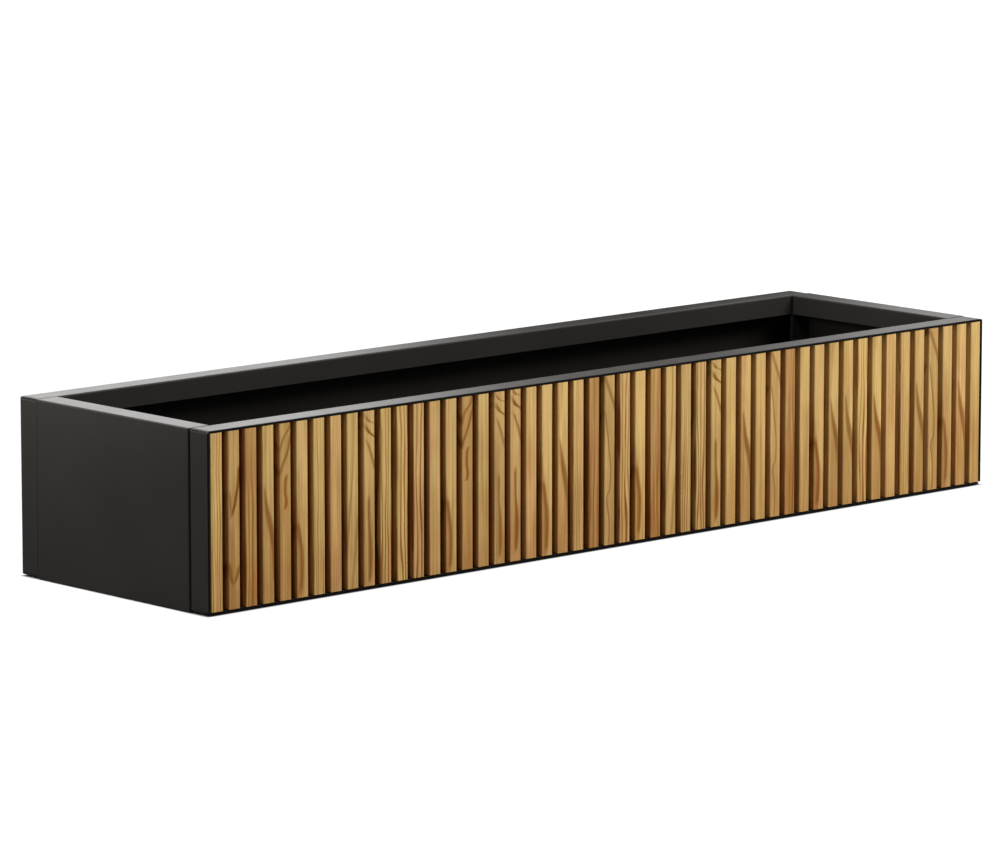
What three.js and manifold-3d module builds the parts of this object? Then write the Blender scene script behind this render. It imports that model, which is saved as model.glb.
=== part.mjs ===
// A long planter box of folded sheet metal, with a front of upright wooden slats.
// Millimetres. X runs along the length, Y from the front to the back, and Z up.
// The origin is on the ground, under the middle of the box.

import * as THREE from 'three';
import { mergeVertices } from 'three/addons/utils/BufferGeometryUtils.js';
import Module from 'manifold-3d';

// The whole box
const length = 1500; // outside of one end panel to the outside of the other
const depth = 400; // front of the slats to the back of the box
const height = 250; // ground to the top of the rim

// The sheet and its folds
const sheet = 1.5; // thickness of every folded panel
const bendRadius = 0.8; // on the inside of a bend
const arcSteps = 3; // flats on each bend
const seam = 1; // open joint between two panels, or between two folds of one
const seat = 0.3; // clearance of a piece that rests on or in another

// The front tray and the back panel, which run the whole length
const longRim = 37.5; // width of their rims and of the posts at their ends
const hem = 2 * sheet; // folded edge that frames the slats, the sheet flat on itself
const hemRound = 0.9; // rounding on the front of that edge
const outerCorner = 4.5; // rounding of the four corners, seen from the front
const lip = 29; // height of the strip that hangs from the rim, all round
const cornerNotchWide = 4.5; // open relief where the bottom hem meets the side hem
const cornerNotchHigh = 3.5;
const cornerNotchDeep = 8;

// The end panels, which sit between them
const endRim = 38; // width of the rim on an end panel
const endProud = 1.5; // an end panel stands this much outside the posts
const endDrop = 1.5; // and reaches this much lower, so the box stands on the two

// The slats
const slatCount = 50;
const slatWidth = 20;
const slatThickness = 20;
const slatRound = 1.5; // eased long edges
const slatRoundSteps = 2; // flats on each
const slatGap = 0.8; // open joint between the slats and the hem above and below them
const rowGap = 1.8; // and between the hem and the first slat or the last one
const slatScrewHole = 4.5; // across the hole in the tray behind a slat
const slatScrewHoleSides = 6;
const slatScrewInset = 35; // from a slat's end to its screw

// The floor
const floorRise = 24; // from the ground to the floor's upper face
const drainHole = 12;
const drainHoleSides = 16;
const drainColumns = 6;
const drainRows = 2;
const drainInset = 110; // from the end of the floor to its first hole
const drainRowGap = 190; // between the rows

// The tie across the middle
const tieWidth = 30;
const tieDrop = 16; // depth of its two side walls
const tieTop = 140; // height of its upper face above the ground
const tieTab = 32; // height of the tabs at its ends
const tieTaper = 5; // slope cut off each side wall at its ends

// The stud strips, which hold the corners together
const studDiameter = 6;
const studSides = 8;
const studHole = 6.6; // across the holes for the studs
const studHoleSides = 12;
const studCount = 3;
const studFoot = 50; // from the ground to the lowest stud
const studDrop = 90; // from the rim to the highest one
const stripWidth = 18;
const stripThickness = 3;
const stripOver = 12; // from the outer studs to the strip's ends
const stripCorner = 3; // rounding of its corners
const nutAcross = 10;
const nutHeight = 5;
const nutSides = 6;
const washerDiameter = 12.5;
const washerThickness = 1.2;
const washerSides = 12;
const studTip = 2; // stud showing past the nut

// Places worked out from the sizes above
const bendOutside = bendRadius + sheet;
const front = -depth / 2;
const back = depth / 2;
const longEnd = length / 2 - endProud; // outside of the posts
const longBottom = endDrop; // underside of the front tray and the back panel
const mouthY = depth / 2 - longRim; // inner face of the long lips
const mouthX = length / 2 - endRim; // inner face of the end lips
const endSkin = length / 2; // outside of an end panel
const endWidth = 2 * (mouthY - seam); // an end panel fits between the long lips
const webFront = front + slatThickness + seat; // the slats lie against the tray's web
const webBack = webFront + sheet;
const lipBottom = height - lip;
const postTop = height - sheet - seam; // a post ends just under its rim
const slatBottom = longBottom + hem + slatGap;
const slatTop = height - hem - slatGap;
const flangeEnd = mouthX; // free edge of the flanges that meet at a corner
const flangeMiddle = (flangeEnd + longEnd - sheet) / 2; // where the studs go
const studLowest = studFoot;
const studHighest = height - studDrop;
const slack = 5; // how far a cutter runs past what it cuts

const wasm = await Module();
wasm.setup();

// A closed geometry as a solid that can be joined and cut
function solid(geometry) {
  geometry.deleteAttribute('normal');
  geometry.deleteAttribute('uv');
  const merged = mergeVertices(geometry, 1e-5);
  return new wasm.Manifold(
    new wasm.Mesh({
      numProp: 3,
      vertProperties: new Float32Array(merged.attributes.position.array),
      triVerts: new Uint32Array(merged.index.array),
    })
  );
}

// A solid as a geometry with flat faces
function geometryOf(shape) {
  const mesh = shape.getMesh();
  const geometry = new THREE.BufferGeometry();
  geometry.setAttribute('position', new THREE.BufferAttribute(mesh.vertProperties, 3));
  geometry.setIndex(new THREE.BufferAttribute(mesh.triVerts, 1));
  geometry.computeVertexNormals();
  return geometry;
}

function joined(shapes) {
  return shapes.reduce((whole, shape) => whole.add(shape));
}

// The lower and the higher of two values
function span(a, b) {
  return [Math.min(a, b), Math.max(a, b)];
}

// A block between two values on each axis
function block([x0, x1], [y0, y1], [z0, z1]) {
  const geometry = new THREE.BoxGeometry(x1 - x0, y1 - y0, z1 - z0);
  geometry.translate((x0 + x1) / 2, (y0 + y1) / 2, (z0 + z1) / 2);
  return solid(geometry);
}

// A round bar along Y
function barAlongY(diameter, x, [y0, y1], z, sides) {
  const geometry = new THREE.CylinderGeometry(diameter / 2, diameter / 2, y1 - y0, sides);
  geometry.translate(x, (y0 + y1) / 2, z);
  return solid(geometry);
}

// The points of an outline whose corners are [u, v, radius], with so many flats on each arc
function rounded(corners, steps) {
  const points = [];
  corners.forEach(([u, v, radius = 0], i) => {
    const corner = new THREE.Vector2(u, v);
    if (radius === 0) {
      points.push(corner);
      return;
    }
    const [beforeU, beforeV] = corners[(i + corners.length - 1) % corners.length];
    const [afterU, afterV] = corners[(i + 1) % corners.length];
    const toBefore = new THREE.Vector2(beforeU - u, beforeV - v).normalize();
    const toAfter = new THREE.Vector2(afterU - u, afterV - v).normalize();
    const half = Math.acos(THREE.MathUtils.clamp(toBefore.dot(toAfter), -1, 1)) / 2;
    const middle = toBefore.clone().add(toAfter).normalize();
    const centre = corner.clone().addScaledVector(middle, radius / Math.sin(half));
    const start = corner.clone().addScaledVector(toBefore, radius / Math.tan(half)).sub(centre);
    const end = corner.clone().addScaledVector(toAfter, radius / Math.tan(half)).sub(centre);
    const turn = Math.atan2(start.cross(end), start.dot(end));
    for (let k = 0; k <= steps; k++) {
      const arm = start.clone().rotateAround(new THREE.Vector2(), (turn * k) / steps);
      points.push(centre.clone().add(arm));
    }
  });
  return points.filter((p, i) => p.distanceTo(points[(i + 1) % points.length]) > 1e-4);
}

function extruded(corners, run, steps = arcSteps) {
  const shape = new THREE.Shape(rounded(corners, steps));
  return new THREE.ExtrudeGeometry(shape, { depth: run, bevelEnabled: false });
}

// Outlines given as [y, z], [x, z] and [x, y], drawn out along the third axis
function alongX(corners, [x0, x1]) {
  const basis = new THREE.Matrix4().makeBasis(
    new THREE.Vector3(0, 1, 0),
    new THREE.Vector3(0, 0, 1),
    new THREE.Vector3(1, 0, 0)
  );
  return solid(extruded(corners, x1 - x0).applyMatrix4(basis).translate(x0, 0, 0));
}

function alongY(corners, [y0, y1]) {
  const basis = new THREE.Matrix4().makeBasis(
    new THREE.Vector3(1, 0, 0),
    new THREE.Vector3(0, 0, 1),
    new THREE.Vector3(0, -1, 0)
  );
  return solid(extruded(corners, y1 - y0).applyMatrix4(basis).translate(0, y1, 0));
}

function alongZ(corners, [z0, z1], steps) {
  return solid(extruded(corners, z1 - z0, steps).translate(0, 0, z0));
}

// A block with some of its edges rounded. An edge is [axis it runs along, side, side, radius],
// where the sides, 1 or -1, pick it by the two other axes in their order.
function roundedBlock(x, y, z, edges) {
  const faces = { X: [y, z], Y: [x, z], Z: [x, y] };
  const runs = { X: x, Y: y, Z: z };
  const draw = { X: alongX, Y: alongY, Z: alongZ };
  const cutters = edges.map(([axis, sideU, sideV, radius]) => {
    const [rangeU, rangeV] = faces[axis];
    const u = rangeU[sideU > 0 ? 1 : 0];
    const v = rangeV[sideV > 0 ? 1 : 0];
    const corners = [
      [u - sideU * radius, v],
      [u, v, radius],
      [u, v - sideV * radius],
      [u + sideU * slack, v - sideV * radius],
      [u + sideU * slack, v + sideV * slack],
      [u - sideU * radius, v + sideV * slack],
    ];
    const [low, high] = runs[axis];
    return draw[axis](corners, [low - slack, high + slack]);
  });
  return cutters.reduce((whole, cutter) => whole.subtract(cutter), block(x, y, z));
}

function cutAll(shape, cutters) {
  return cutters.reduce((whole, cutter) => whole.subtract(cutter), shape);
}

function studHeights() {
  const step = (studHighest - studLowest) / (studCount - 1);
  return Array.from({ length: studCount }, (_, k) => studLowest + k * step);
}

// Holes for the studs in the flanges of a corner
function studHoles(sideX, yRange) {
  const bars = studHeights().map((z) =>
    barAlongY(studHole, sideX * flangeMiddle, yRange, z, studHoleSides)
  );
  return joined(bars);
}

// The slots of one end of a long panel, on the front or the back of the box: under the rim, where
// the post stops, and round the end of the lip, where the post's return flange stops
function postSlots(sideX, sideY) {
  const face = span(sideY * (mouthY - slack), sideY * (mouthY + sheet));
  const postFace = span(sideX * (longEnd - sheet), sideX * (longEnd + slack));
  const rimSide = span(sideY * (mouthY - slack), sideY * (depth / 2 - hem));
  const lipEnd = longEnd - bendOutside;
  const returnFlange = span(sideX * (flangeEnd - slack), sideX * lipEnd);
  const besideLip = span(sideX * (lipEnd - seam), sideX * lipEnd);
  return [
    block(postFace, rimSide, [postTop, height - sheet]),
    block(returnFlange, face, [lipBottom - seam, lipBottom]),
    block(besideLip, face, [lipBottom - seam / 2, height - sheet]),
    studHoles(sideX, face),
  ];
}

// Middles of the slats along X
function slatPlaces() {
  const opening = 2 * (longEnd - hem);
  const pitch = (opening - 2 * rowGap - slatWidth) / (slatCount - 1);
  const first = -opening / 2 + rowGap + slatWidth / 2;
  return Array.from({ length: slatCount }, (_, k) => first + k * pitch);
}

function slatScrewHeights() {
  return [slatBottom + slatScrewInset, slatTop - slatScrewInset];
}

// The front tray: a web behind the slats, a hem all round them, rim, lip, posts and foot flange
function frontTray() {
  const outside = roundedBlock([-longEnd, longEnd], [front, -mouthY], [longBottom, height], [
    ['X', -1, 1, hemRound],
    ['X', -1, -1, hemRound],
    ['X', 1, 1, bendOutside],
    ['Y', -1, 1, outerCorner],
    ['Y', 1, 1, outerCorner],
    ['Y', -1, -1, outerCorner],
    ['Y', 1, -1, outerCorner],
    ['Z', -1, -1, hemRound],
    ['Z', 1, -1, hemRound],
    ['Z', -1, 1, bendOutside],
    ['Z', 1, 1, bendOutside],
  ]);
  const hollow = roundedBlock(
    [-longEnd + sheet, longEnd - sheet],
    [webBack, -mouthY - sheet],
    [longBottom + sheet, height - sheet],
    [
      ['X', 1, 1, bendRadius],
      ['Z', -1, 1, bendRadius],
      ['Z', 1, 1, bendRadius],
    ]
  );
  const recess = block(
    [-longEnd + hem, longEnd - hem],
    [front - slack, webFront],
    [longBottom + hem, height - hem]
  );
  const window = block(
    [-flangeEnd, flangeEnd],
    [-mouthY - sheet - slack, -mouthY + slack],
    [longBottom + sheet, lipBottom]
  );
  const notches = [-1, 1].map((s) =>
    block(
      span(s * (longEnd - cornerNotchWide), s * (longEnd + slack)),
      [front - slack, front + cornerNotchDeep],
      [longBottom - slack, longBottom + cornerNotchHigh]
    )
  );
  const screwHoles = slatPlaces().flatMap((x) =>
    slatScrewHeights().map((z) =>
      barAlongY(slatScrewHole, x, [webFront - sheet, webBack + sheet], z, slatScrewHoleSides)
    )
  );
  return cutAll(outside, [
    recess,
    hollow,
    window,
    ...notches,
    ...postSlots(-1, -1),
    ...postSlots(1, -1),
    joined(screwHoles),
  ]);
}

// The back panel: a plain skin with rim, lip, posts and foot flange
function backPanel() {
  const outside = roundedBlock([-longEnd, longEnd], [mouthY, back], [longBottom, height], [
    ['X', -1, 1, bendOutside],
    ['X', 1, 1, bendOutside],
    ['X', 1, -1, bendOutside],
    ['Y', -1, 1, outerCorner],
    ['Y', 1, 1, outerCorner],
    ['Y', -1, -1, outerCorner],
    ['Y', 1, -1, outerCorner],
    ['Z', -1, -1, bendOutside],
    ['Z', 1, -1, bendOutside],
    ['Z', -1, 1, bendOutside],
    ['Z', 1, 1, bendOutside],
  ]);
  const hollow = roundedBlock(
    [-longEnd + sheet, longEnd - sheet],
    [mouthY + sheet, back - sheet],
    [longBottom + sheet, height - sheet],
    [
      ['X', -1, 1, bendRadius],
      ['X', 1, 1, bendRadius],
      ['X', 1, -1, bendRadius],
      ['Z', -1, -1, bendRadius],
      ['Z', 1, -1, bendRadius],
      ['Z', -1, 1, bendRadius],
      ['Z', 1, 1, bendRadius],
    ]
  );
  const window = block(
    [-flangeEnd, flangeEnd],
    [mouthY - slack, mouthY + sheet + slack],
    [longBottom + sheet, lipBottom]
  );
  return cutAll(outside, [hollow, window, ...postSlots(-1, 1), ...postSlots(1, 1)]);
}

// The right end panel. It folds over into its own rim, foot flange and two end flanges.
function endPanel() {
  const half = endWidth / 2;
  const skinIn = endSkin - sheet;
  const outside = roundedBlock([mouthX, endSkin], [-half, half], [0, height], [
    ['Y', -1, 1, bendOutside],
    ['Y', 1, 1, bendOutside],
    ['Y', 1, -1, bendOutside],
    ['Z', 1, -1, bendOutside],
    ['Z', 1, 1, bendOutside],
  ]);
  const hollow = roundedBlock(
    [mouthX + sheet, skinIn],
    [-half + sheet, half - sheet],
    [sheet, height - sheet],
    [
      ['Y', -1, 1, bendRadius],
      ['Y', 1, 1, bendRadius],
      ['Y', 1, -1, bendRadius],
      ['Z', 1, -1, bendRadius],
      ['Z', 1, 1, bendRadius],
    ]
  );
  const window = block(
    [mouthX - slack, mouthX + sheet + slack],
    [-half + sheet, half - sheet],
    [sheet, lipBottom]
  );

  // Slots where each end flange stops short of the rim, of the lip and of the foot flange
  const slots = [-1, 1].flatMap((s) => {
    const flange = span(s * (half - sheet), s * (half + slack));
    const besideLip = span(s * (half - sheet), s * (half - sheet - seam));
    const acrossFlange = [mouthX - slack, endSkin - bendOutside];
    return [
      block(acrossFlange, flange, [postTop, height - sheet]),
      block(acrossFlange, flange, [sheet, sheet + seam]),
      block([mouthX - slack, mouthX + sheet + seam], flange, [lipBottom - seam, height - sheet]),
      block([mouthX - slack, mouthX + sheet], besideLip, [lipBottom - slack, height - sheet]),
      studHoles(1, flange),
    ];
  });
  return cutAll(outside, [hollow, window, ...slots]);
}

// The floor: a plate with turned-down edges that stand on the bottom flanges all round
function floorPan() {
  const top = floorRise;
  const yFront = webBack + seat;
  const yBack = back - sheet - seat;
  const xEnd = endSkin - sheet - seat;
  const longFoot = longBottom + sheet + seat; // on the flanges of the long panels
  const endFoot = sheet + seat; // on the flanges of the end panels
  const clearX = flangeEnd - seam; // the plate passes between the corner flanges
  const clearY = mouthY - seam - sheet - seam;
  const long = [
    [yFront, longFoot],
    [yFront, top, bendOutside],
    [yBack, top, bendOutside],
    [yBack, longFoot],
    [yBack - sheet, longFoot],
    [yBack - sheet, top - sheet, bendRadius],
    [yFront + sheet, top - sheet, bendRadius],
    [yFront + sheet, longFoot],
  ];
  const across = [
    [-xEnd, endFoot],
    [-xEnd, top, bendOutside],
    [xEnd, top, bendOutside],
    [xEnd, endFoot],
    [xEnd - sheet, endFoot],
    [xEnd - sheet, top - sheet, bendRadius],
    [-xEnd + sheet, top - sheet, bendRadius],
    [-xEnd + sheet, endFoot],
  ];
  const holes = [];
  const step = (2 * (xEnd - drainInset)) / (drainColumns - 1);
  for (let column = 0; column < drainColumns; column++) {
    for (let row = 0; row < drainRows; row++) {
      const radius = drainHole / 2;
      const hole = new THREE.CylinderGeometry(radius, radius, 2 * slack, drainHoleSides);
      const y = (row - (drainRows - 1) / 2) * drainRowGap;
      hole.rotateX(Math.PI / 2).translate(-xEnd + drainInset + column * step, y, top);
      holes.push(solid(hole));
    }
  }
  return alongX(long, [-clearX, clearX])
    .add(alongY(across, [-clearY, clearY]))
    .subtract(joined(holes));
}

// The tie: a channel, open below, with a tab turned up against the wall at each end
function crossTie() {
  const y0 = webBack + seat;
  const y1 = back - sheet - seat;
  const half = tieWidth / 2;
  const channel = [
    [-half, tieTop - tieDrop],
    [-half, tieTop, bendOutside],
    [half, tieTop, bendOutside],
    [half, tieTop - tieDrop],
    [half - sheet, tieTop - tieDrop],
    [half - sheet, tieTop - sheet, bendRadius],
    [-half + sheet, tieTop - sheet, bendRadius],
    [-half + sheet, tieTop - tieDrop],
  ];
  const tabFoot = bendOutside + slack; // how far a tab's strip reaches into the channel
  const tab = (y, s) => {
    const strip = [
      [y + s * tabFoot, tieTop - sheet],
      [y, tieTop - sheet, bendOutside],
      [y, tieTop - sheet + tieTab],
      [y + s * sheet, tieTop - sheet + tieTab],
      [y + s * sheet, tieTop, bendRadius],
      [y + s * tabFoot, tieTop],
    ];
    const width = half - bendOutside;
    return alongX(strip, [-width, width]);
  };

  // The side walls stop short of the walls of the box, on a slope.
  const foot = (y, s) => [
    [y - s * slack, tieTop + slack],
    [y + s * (bendOutside + seam), tieTop + slack],
    [y + s * (bendOutside + seam + tieTaper), tieTop - tieDrop - slack],
    [y - s * slack, tieTop - tieDrop - slack],
  ];
  const end = (y, s) => alongX(foot(y, s), [-half - slack, half + slack]);
  return alongY(channel, [y0, y1])
    .subtract(end(y0, 1))
    .subtract(end(y1, -1))
    .add(tab(y0, 1))
    .add(tab(y1, -1));
}

// A stud strip: a bar with three studs through the flanges of a corner, each with its nut.
// Its own origin is on the face of the flange that the bar lies on, with the studs along +Y.
function studStrip() {
  const flanges = sheet + seam + sheet; // the two flanges that it clamps
  const washerAt = flanges + seat;
  const nutAt = washerAt + washerThickness;
  const low = studLowest - stripOver;
  const high = studHighest + stripOver;
  const half = stripWidth / 2;
  const bar = alongY(
    [
      [-half, low, stripCorner],
      [-half, high, stripCorner],
      [half, high, stripCorner],
      [half, low, stripCorner],
    ],
    [-seat - stripThickness, -seat]
  );
  const nutCorner = nutAcross / Math.cos(Math.PI / nutSides);
  const studRange = [-seat - stripThickness / 2, nutAt + nutHeight + studTip];
  const studs = studHeights().flatMap((z) => [
    barAlongY(studDiameter, 0, studRange, z, studSides),
    barAlongY(washerDiameter, 0, [washerAt, nutAt + nutHeight / 2], z, washerSides),
    barAlongY(nutCorner, 0, [nutAt, nutAt + nutHeight], z, nutSides),
  ]);
  return joined([bar, ...studs]);
}

// A slat, with its own origin at its foot, in the middle of its back face
function slat() {
  const half = slatWidth / 2;
  const outline = [
    [-half, -slatThickness, slatRound],
    [half, -slatThickness, slatRound],
    [half, 0, slatRound],
    [-half, 0, slatRound],
  ];
  return alongZ(outline, [0, slatTop - slatBottom], slatRoundSteps);
}

const coat = new THREE.MeshStandardMaterial({ color: 0x2d2b2a, roughness: 0.45, metalness: 0.1 });
const zinc = new THREE.MeshStandardMaterial({ color: 0x9b9da0, roughness: 0.35, metalness: 1 });
const timber = new THREE.MeshStandardMaterial({ color: 0xb8895a, roughness: 0.6, metalness: 0 });

const planter = new THREE.Group();

function place(name, geometry, material, position = [0, 0, 0], turn = 0) {
  const mesh = new THREE.Mesh(geometry, material);
  mesh.name = name;
  mesh.position.set(...position);
  mesh.rotation.z = turn;
  planter.add(mesh);
}

place('front_tray', geometryOf(frontTray()), coat);
place('back_panel', geometryOf(backPanel()), coat);

const endGeometry = geometryOf(endPanel());
place('right_end_panel', endGeometry, coat);
place('left_end_panel', endGeometry, coat, [0, 0, 0], Math.PI);

place('floor_pan', geometryOf(floorPan()), coat);
place('cross_tie', geometryOf(crossTie()), coat);

const stripGeometry = geometryOf(studStrip());
const flangeFace = mouthY + sheet;
place('stud_strip_front_left', stripGeometry, zinc, [-flangeMiddle, -flangeFace, 0]);
place('stud_strip_front_right', stripGeometry, zinc, [flangeMiddle, -flangeFace, 0]);
place('stud_strip_back_left', stripGeometry, zinc, [-flangeMiddle, flangeFace, 0], Math.PI);
place('stud_strip_back_right', stripGeometry, zinc, [flangeMiddle, flangeFace, 0], Math.PI);

const slatGeometry = geometryOf(slat());
slatPlaces().forEach((x, k) => {
  const name = `slat_${String(k + 1).padStart(2, '0')}`;
  place(name, slatGeometry, timber, [x, webFront - seat, slatBottom]);
});

export default planter;
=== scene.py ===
"""Looks of a long planter box of folded sheet metal, with a front of upright wooden slats.

Metres. X runs along the length, Y from the slatted front to the back, and Z up.
"""

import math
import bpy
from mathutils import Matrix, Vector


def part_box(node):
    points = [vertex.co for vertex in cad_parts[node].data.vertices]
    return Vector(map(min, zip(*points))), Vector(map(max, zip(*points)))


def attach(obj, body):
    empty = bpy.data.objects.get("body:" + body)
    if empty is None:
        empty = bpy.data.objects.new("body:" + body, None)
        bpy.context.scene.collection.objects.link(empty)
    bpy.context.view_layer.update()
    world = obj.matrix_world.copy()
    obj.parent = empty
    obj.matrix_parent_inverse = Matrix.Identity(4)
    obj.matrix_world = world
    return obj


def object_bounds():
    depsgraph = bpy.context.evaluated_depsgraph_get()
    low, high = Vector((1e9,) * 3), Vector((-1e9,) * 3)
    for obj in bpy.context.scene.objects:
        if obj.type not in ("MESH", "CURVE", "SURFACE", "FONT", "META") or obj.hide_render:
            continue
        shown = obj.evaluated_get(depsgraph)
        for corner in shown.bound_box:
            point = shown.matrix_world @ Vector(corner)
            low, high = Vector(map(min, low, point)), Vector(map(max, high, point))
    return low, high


bl_info = {
    "name": "Slatted planter box",
    "version": (1, 0, 0),
    "blender": (4, 5, 0),
    "location": "3D View > Sidebar > Planter",
    "description": "Coats the sheet metal, grains the slats, adds the fasteners and lights the box",
    "category": "Object",
}

from functools import partial

import bmesh
import bpy
from bpy.props import FloatProperty, FloatVectorProperty, IntProperty, PointerProperty
from mathutils import Matrix, Vector

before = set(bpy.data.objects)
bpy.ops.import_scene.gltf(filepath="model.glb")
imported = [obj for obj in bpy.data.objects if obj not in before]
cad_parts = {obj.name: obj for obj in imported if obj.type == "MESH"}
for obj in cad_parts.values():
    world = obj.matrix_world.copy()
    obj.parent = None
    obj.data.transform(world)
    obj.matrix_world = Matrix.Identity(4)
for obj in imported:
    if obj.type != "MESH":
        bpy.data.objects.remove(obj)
cad_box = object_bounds()

BODY = "root"
SLATS = sorted(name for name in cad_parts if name.startswith("slat_"))
STRIPS = sorted(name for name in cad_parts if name.startswith("stud_strip_"))
COATED = sorted(set(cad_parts) - set(SLATS) - set(STRIPS))

# Places read from the frame
SLAT_LOW, SLAT_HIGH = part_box(SLATS[0])
SLAT_WIDTH = SLAT_HIGH.x - SLAT_LOW.x
SLAT_FIRST = (SLAT_LOW.x + SLAT_HIGH.x) / 2
SLAT_LAST = (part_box(SLATS[-1])[0].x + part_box(SLATS[-1])[1].x) / 2
SLAT_PITCH = (SLAT_LAST - SLAT_FIRST) / (len(SLATS) - 1)
TIE_LOW, TIE_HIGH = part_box("cross_tie")

# The thickness of the sheets, the clearance between seated pieces, the depth of the lips and how
# far a slat screw goes past the web
SHEET = 0.0015
SEAT = 0.0003
LIP = 0.029
SCREW_BITE = 0.004
WEB_BACK = SLAT_HIGH.y + SEAT + SHEET
LIP_LOW = cad_box[1].z - LIP

# Where the random numbers of the slats and of the lines in their grain start
SLAT_SEED = 131.0
LINE_SEED = 57.0
LINE_STEP = 17.0


# Sizes and colours that a user would change


class PlanterCoat(bpy.types.PropertyGroup):
    """The powder coat on the folded sheet metal"""

    colour: FloatVectorProperty(
        name="Colour",
        description="Colour of the powder coat",
        subtype="COLOR",
        size=3,
        min=0,
        max=1,
        default=(0.0245, 0.0221, 0.0197),
    )
    dust: FloatVectorProperty(
        name="Dust colour",
        description="Colour of the fine dust on faces that look up",
        subtype="COLOR",
        size=3,
        min=0,
        max=1,
        default=(0.045, 0.041, 0.037),
    )
    roughness: FloatProperty(
        name="Roughness",
        description="How matt the powder coat is",
        subtype="FACTOR",
        min=0,
        max=1,
        default=0.30,
    )
    # Painted shade on the narrow front of the folded edge round the slats
    frame_painted_shade: FloatProperty(
        name="Frame shade",
        description="How dark the front of the folded edge round the slats is, against the rest",
        subtype="FACTOR",
        min=0,
        max=1,
        default=0.1,
    )
    # Painted shade on the faces inside the box and on its lips
    inside_painted_shade: FloatProperty(
        name="Inside shade",
        description="How dark the coat is inside the box and under its lips, against the rest",
        subtype="FACTOR",
        min=0,
        max=1,
        default=0.55,
    )
    speckle: FloatProperty(
        name="Speckle size",
        description="Distance between the bumps of the coat's fine texture",
        subtype="DISTANCE",
        unit="LENGTH",
        min=0.0001,
        default=0.0011,
    )


class PlanterWood(bpy.types.PropertyGroup):
    """The wood of the slats"""

    pale: FloatVectorProperty(
        name="Pale wood",
        description="Colour of the sapwood",
        subtype="COLOR",
        size=3,
        min=0,
        max=1,
        default=(0.640, 0.418, 0.158),
    )
    warm: FloatVectorProperty(
        name="Warm wood",
        description="Colour of the heartwood",
        subtype="COLOR",
        size=3,
        min=0,
        max=1,
        default=(0.330, 0.138, 0.034),
    )
    dark: FloatVectorProperty(
        name="Dark wood",
        description="Colour of the strokes and lines of the grain",
        subtype="COLOR",
        size=3,
        min=0,
        max=1,
        default=(0.225, 0.084, 0.012),
    )
    fibre: FloatProperty(
        name="Fibre width",
        description="Width of the finest fibres",
        subtype="DISTANCE",
        unit="LENGTH",
        min=0.0001,
        default=0.0006,
    )


class PlanterFasteners(bpy.types.PropertyGroup):
    """The slat screws and the rivets of the tie"""

    screw_head: FloatProperty(
        name="Screw head",
        description="Diameter of the head of a slat screw",
        subtype="DISTANCE",
        unit="LENGTH",
        min=0.001,
        default=0.0085,
    )
    screw_height: FloatProperty(
        name="Screw head height",
        description="Height of the head of a slat screw",
        subtype="DISTANCE",
        unit="LENGTH",
        min=0.0005,
        default=0.0026,
    )
    screw_inset: FloatProperty(
        name="Screw inset",
        description="Distance from the end of a slat to its screw",
        subtype="DISTANCE",
        unit="LENGTH",
        min=0.005,
        default=0.035,
    )
    rivet_head: FloatProperty(
        name="Rivet head",
        description="Diameter of the head of a rivet",
        subtype="DISTANCE",
        unit="LENGTH",
        min=0.001,
        default=0.0075,
    )
    rivet_height: FloatProperty(
        name="Rivet head height",
        description="Height of the head of a rivet",
        subtype="DISTANCE",
        unit="LENGTH",
        min=0.0005,
        default=0.0018,
    )
    rivet_inset: FloatProperty(
        name="Rivet inset",
        description="Distance from the top of the tie's tab to its first rivet",
        subtype="DISTANCE",
        unit="LENGTH",
        min=0.004,
        default=0.008,
    )
    rivet_gap: FloatProperty(
        name="Rivet gap",
        description="Distance between the two rivets of a tab",
        subtype="DISTANCE",
        unit="LENGTH",
        min=0.008,
        default=0.012,
    )
    screw_sides: IntProperty(
        name="Head sides",
        description="Flats round the head of a screw or a rivet",
        min=6,
        max=24,
        default=12,
    )


class PlanterStage(bpy.types.PropertyGroup):
    """The camera, the floor and the light"""

    camera_place: FloatVectorProperty(
        name="Camera place",
        description="Where the camera stands",
        subtype="XYZ",
        unit="LENGTH",
        size=3,
        default=(-5.8824, -6.3561, 1.5928),
    )
    camera_turn: FloatVectorProperty(
        name="Camera turn",
        description="Turn of the camera about X, Y and Z",
        subtype="EULER",
        unit="ROTATION",
        size=3,
        default=tuple(math.radians(angle) for angle in (80.5033, 0.0, -42.5889)),
    )
    focal_length: FloatProperty(
        name="Focal length",
        description="Focal length of the camera",
        subtype="DISTANCE_CAMERA",
        unit="CAMERA",
        min=10,
        default=221.31,
    )
    sky: FloatProperty(
        name="Sky",
        description="Strength of the even light from all round",
        min=0,
        default=0.25,
    )
    key: FloatProperty(
        name="Key light",
        description="Power of the large soft lamp in front and to the right",
        subtype="POWER",
        unit="POWER",
        min=0,
        default=500.0,
    )
    side: FloatProperty(
        name="Side light",
        description="Power of the soft lamp to the left and behind",
        subtype="POWER",
        unit="POWER",
        min=0,
        default=11.8,
    )
    lip: FloatProperty(
        name="Lip light",
        description="Power of the narrow lamp over the box, on the lip of the right end panel",
        subtype="POWER",
        unit="POWER",
        min=0,
        default=0.95,
    )


# Node trees


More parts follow.
